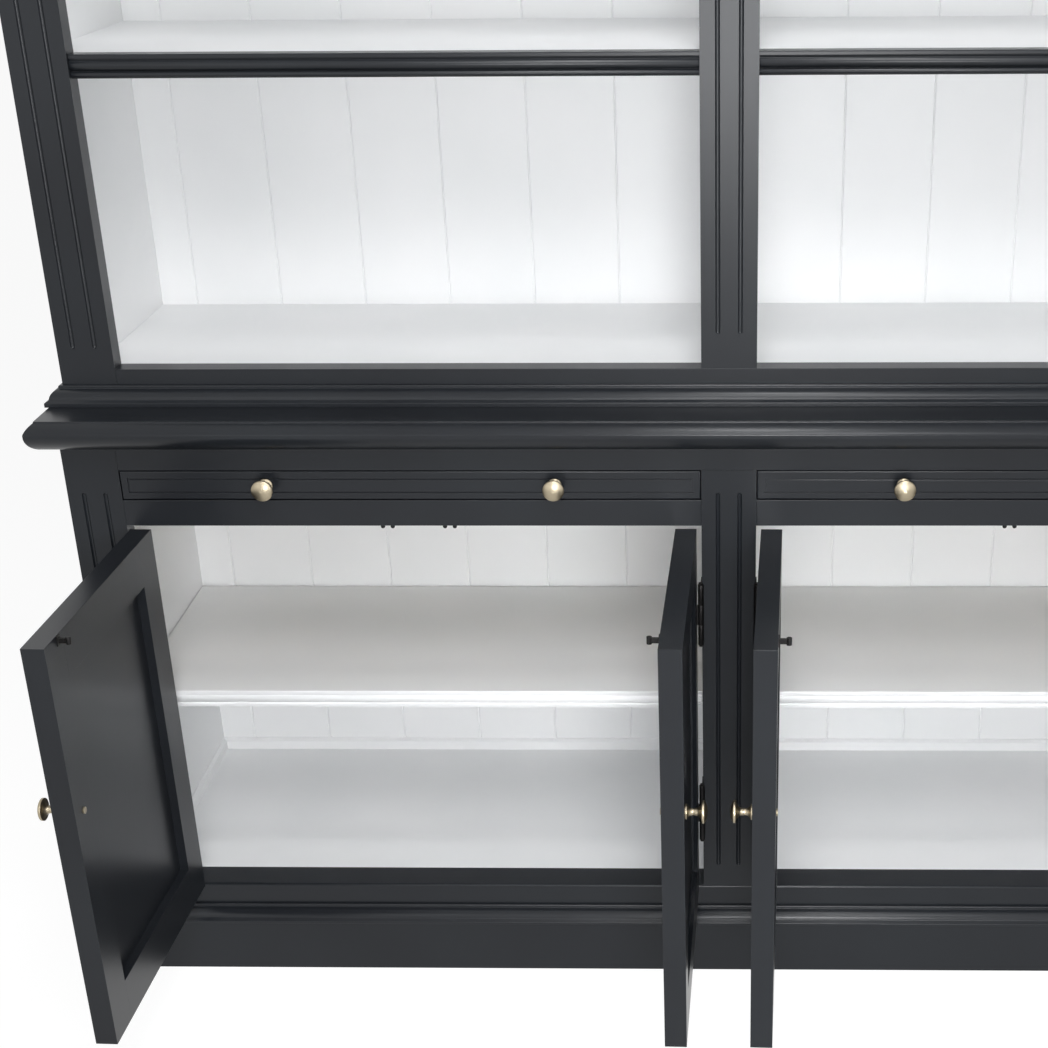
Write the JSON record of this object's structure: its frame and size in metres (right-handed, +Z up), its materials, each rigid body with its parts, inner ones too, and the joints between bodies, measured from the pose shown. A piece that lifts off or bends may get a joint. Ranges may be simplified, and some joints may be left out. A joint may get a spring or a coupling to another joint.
{
  "type": "library bookcase",
  "caption": "Two-part painted bookcase: a fluted base cabinet with hinged doors and wide shallow drawers under a moulded counter, and an open shelf case on top.",
  "frame": {"origin": "middle of the base cabinet's footprint, on the floor", "axes": "+X to the right seen from the front, +Y to the back, +Z up"},
  "size_m": [1.84, 0.819, 2.3],
  "materials": {
    "black_paint": "satin",
    "white_paint": "satin",
    "bare_wood": "matte",
    "antique_brass": "satin",
    "dark_steel": "satin"
  },
  "bodies": {
    "case": {"plinth_boards": "black_paint", "plinth_moulding": "black_paint", "base_sides": "black_paint", "base_stile_left": "black_paint", "base_stile_right": "black_paint", "base_stile_centre": "black_paint", "base_top_rail": "black_paint", "base_bottom_rail": "black_paint", "drawer_rails": "black_paint", "countertop": "black_paint", "upper_sides": "black_paint", "upper_stile_left": "black_paint", "upper_stile_right": "black_paint", "upper_stile_centre": "black_paint", "upper_bottom_rail": "black_paint", "frieze_rail": "black_paint", "upper_base_moulding": "black_paint", "cornice": "black_paint", "upper_shelf_nosings": "black_paint", "base_partition": "white_paint", "base_floor": "white_paint", "base_floor_beads": "white_paint", "base_back_panel": "white_paint", "base_shelf_left": "white_paint", "base_shelf_right": "white_paint", "upper_floor": "white_paint", "upper_top_board": "white_paint", "upper_partition": "white_paint", "upper_back_panel": "white_paint", "upper_shelf_low": "white_paint", "upper_shelf_middle": "white_paint", "upper_shelf_high": "white_paint", "floor_bearer": "bare_wood", "rear_plinth_board": "bare_wood", "drawer_runners": "bare_wood", "case_hinge_leaves": "dark_steel", "roller_catches": "dark_steel", "shelf_pins": "dark_steel"},
    "door_1": {"door_1_frame": "black_paint", "door_1_panel": "black_paint", "door_1_knob": "antique_brass", "door_1_hinges_and_strike": "dark_steel"},
    "door_2": {"door_2_frame": "black_paint", "door_2_panel": "black_paint", "door_2_knob": "antique_brass", "door_2_hinges_and_strike": "dark_steel"},
    "door_3": {"door_3_frame": "black_paint", "door_3_panel": "black_paint", "door_3_knob": "antique_brass", "door_3_hinges_and_strike": "dark_steel"},
    "door_4": {"door_4_frame": "black_paint", "door_4_panel": "black_paint", "door_4_knob": "antique_brass", "door_4_hinges_and_strike": "dark_steel"},
    "drawer_left": {"drawer_left_front": "black_paint", "drawer_left_box": "bare_wood", "drawer_left_knobs": "antique_brass"},
    "drawer_right": {"drawer_right_front": "black_paint", "drawer_right_box": "bare_wood", "drawer_right_knobs": "antique_brass"}
  },
  "joints": [
    {"name": "door_1_hinge", "type": "hinge", "parent": "case", "child": "door_1", "pos_m": [-0.7985, -0.222, 0.414], "axis": [0, 0, -1], "range_deg": [-92, 88]},
    {"name": "door_2_hinge", "type": "hinge", "parent": "case", "child": "door_2", "pos_m": [-0.0375, -0.222, 0.414], "axis": [0, 0, 1], "range_deg": [-88.6, 1.9]},
    {"name": "door_3_hinge", "type": "hinge", "parent": "case", "child": "door_3", "pos_m": [0.0375, -0.222, 0.414], "axis": [0, 0, -1], "range_deg": [-92.1, 1.9]},
    {"name": "door_4_hinge", "type": "hinge", "parent": "case", "child": "door_4", "pos_m": [0.7985, -0.222, 0.414], "axis": [0, 0, 1], "range_deg": [-91, 89]},
    {"name": "drawer_left_slide", "type": "slide", "parent": "case", "child": "drawer_left", "axis": [0, -1, 0], "range_m": [0, 0.25]},
    {"name": "drawer_right_slide", "type": "slide", "parent": "case", "child": "drawer_right", "axis": [0, -1, 0], "range_m": [0, 0.25]}
  ]
}
